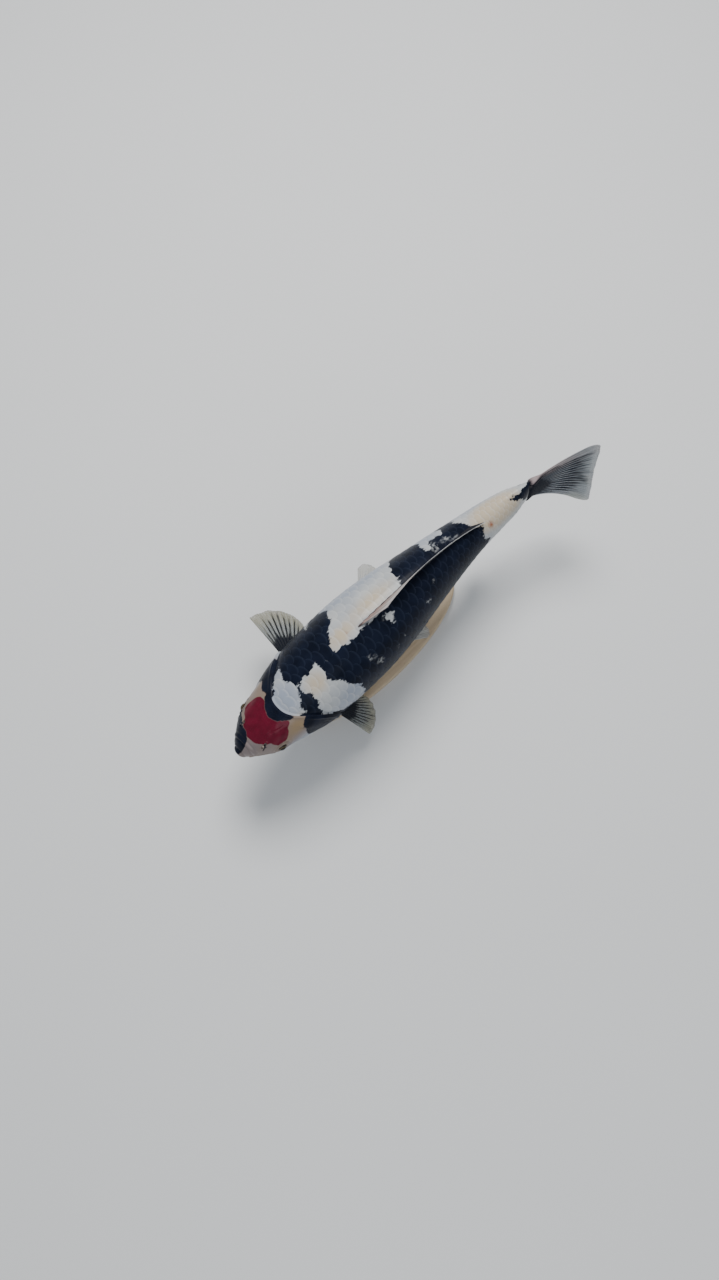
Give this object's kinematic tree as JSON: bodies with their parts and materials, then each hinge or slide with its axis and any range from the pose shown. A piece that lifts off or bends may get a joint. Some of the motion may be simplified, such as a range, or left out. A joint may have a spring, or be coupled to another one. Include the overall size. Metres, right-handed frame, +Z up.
{
  "type": "koi carp model",
  "caption": "Life-size still model of a koi carp swimming with its tail bent aside, held over a flat oval base by short rods, for display.",
  "frame": {"origin": "centre of the model's box, on the floor under the stand", "axes": "+Z up, +Y from the head towards the tail, +X towards the fish's left side"},
  "size_m": [0.2128, 0.5962, 0.2248],
  "materials": {
    "head_skin": "satin, wet-looking",
    "body_skin": "satin, scaled, white marked with black",
    "cheek_skin": "satin",
    "eye": "glossy",
    "fin": "satin, thin and slightly see-through",
    "stand_wood": "satin lacquer",
    "stand_steel": "brushed"
  },
  "bodies": {
    "root": {"head": "head_skin", "trunk": "body_skin", "tail": "body_skin", "gill_cover_left": "cheek_skin", "gill_cover_right": "cheek_skin", "barbel_long_left": "cheek_skin", "barbel_long_right": "cheek_skin", "barbel_short_left": "cheek_skin", "barbel_short_right": "cheek_skin", "eye_left": "eye", "eye_right": "eye", "fin_pectoral_left": "fin", "fin_pectoral_right": "fin", "fin_pelvic_left": "fin", "fin_pelvic_right": "fin", "fin_dorsal": "fin", "fin_anal": "fin", "fin_caudal": "fin", "stand_base": "stand_wood", "stand_rod_front": "stand_steel", "stand_rod_rear": "stand_steel"}
  },
  "joints": []
}
